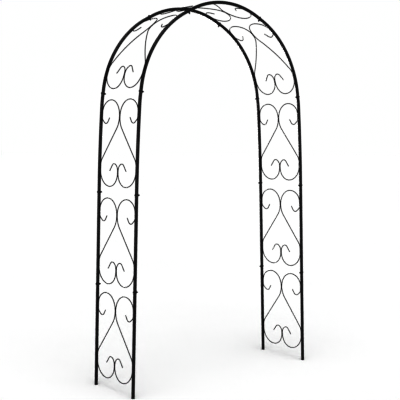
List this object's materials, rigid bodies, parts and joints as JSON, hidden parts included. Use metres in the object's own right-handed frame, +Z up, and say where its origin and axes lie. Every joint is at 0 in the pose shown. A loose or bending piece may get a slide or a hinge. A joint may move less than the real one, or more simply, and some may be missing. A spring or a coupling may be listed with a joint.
{
  "type": "garden trellis arch",
  "caption": "Free-standing garden trellis arch: bent black steel tube hoops joined into bolted ladder panels by mirrored heart-shaped wire scrolls.",
  "frame": {"origin": "on the ground, midway between the four feet", "axes": "+X across the span of the arch, +Y through its depth from the front hoop to the back hoop, +Z up"},
  "size_m": [1.4086, 0.399, 2.2999],
  "materials": {
    "coated_tube": "satin black powder coat on steel tube",
    "coated_wire": "satin black powder coat on steel wire",
    "black_fastener": "blackened steel with worn edges",
    "cap_plastic": "moulded black plastic"
  },
  "bodies": {
    "root": {"left_lower_tube_front": "coated_tube", "left_lower_tube_back": "coated_tube", "left_lower_scroll_front": "coated_wire", "left_lower_scroll_back": "coated_wire", "left_middle_tube_front": "coated_tube", "left_middle_tube_back": "coated_tube", "left_middle_scroll_front": "coated_wire", "left_middle_scroll_back": "coated_wire", "left_upper_tube_front": "coated_tube", "left_upper_tube_back": "coated_tube", "left_upper_scroll_front": "coated_wire", "left_upper_scroll_back": "coated_wire", "left_crown_tube_front": "coated_tube", "left_crown_tube_back": "coated_tube", "left_crown_scroll_front": "coated_wire", "left_crown_scroll_back": "coated_wire", "top_crown_tube_front": "coated_tube", "top_crown_tube_back": "coated_tube", "top_crown_scroll_front": "coated_wire", "top_crown_scroll_back": "coated_wire", "right_crown_tube_front": "coated_tube", "right_crown_tube_back": "coated_tube", "right_crown_scroll_front": "coated_wire", "right_crown_scroll_back": "coated_wire", "right_upper_tube_front": "coated_tube", "right_upper_tube_back": "coated_tube", "right_upper_scroll_front": "coated_wire", "right_upper_scroll_back": "coated_wire", "right_middle_tube_front": "coated_tube", "right_middle_tube_back": "coated_tube", "right_middle_scroll_front": "coated_wire", "right_middle_scroll_back": "coated_wire", "right_lower_tube_front": "coated_tube", "right_lower_tube_back": "coated_tube", "right_lower_scroll_front": "coated_wire", "right_lower_scroll_back": "coated_wire", "left_low_bolts": "black_fastener", "left_mid_bolts": "black_fastener", "left_high_bolts": "black_fastener", "left_top_bolts": "black_fastener", "right_top_bolts": "black_fastener", "right_high_bolts": "black_fastener", "right_mid_bolts": "black_fastener", "right_low_bolts": "black_fastener", "left_low_nuts": "black_fastener", "left_mid_nuts": "black_fastener", "left_high_nuts": "black_fastener", "left_top_nuts": "black_fastener", "right_top_nuts": "black_fastener", "right_high_nuts": "black_fastener", "right_mid_nuts": "black_fastener", "right_low_nuts": "black_fastener", "left_foot_cap_front": "cap_plastic", "left_foot_cap_back": "cap_plastic", "right_foot_cap_front": "cap_plastic", "right_foot_cap_back": "cap_plastic"}
  },
  "joints": []
}
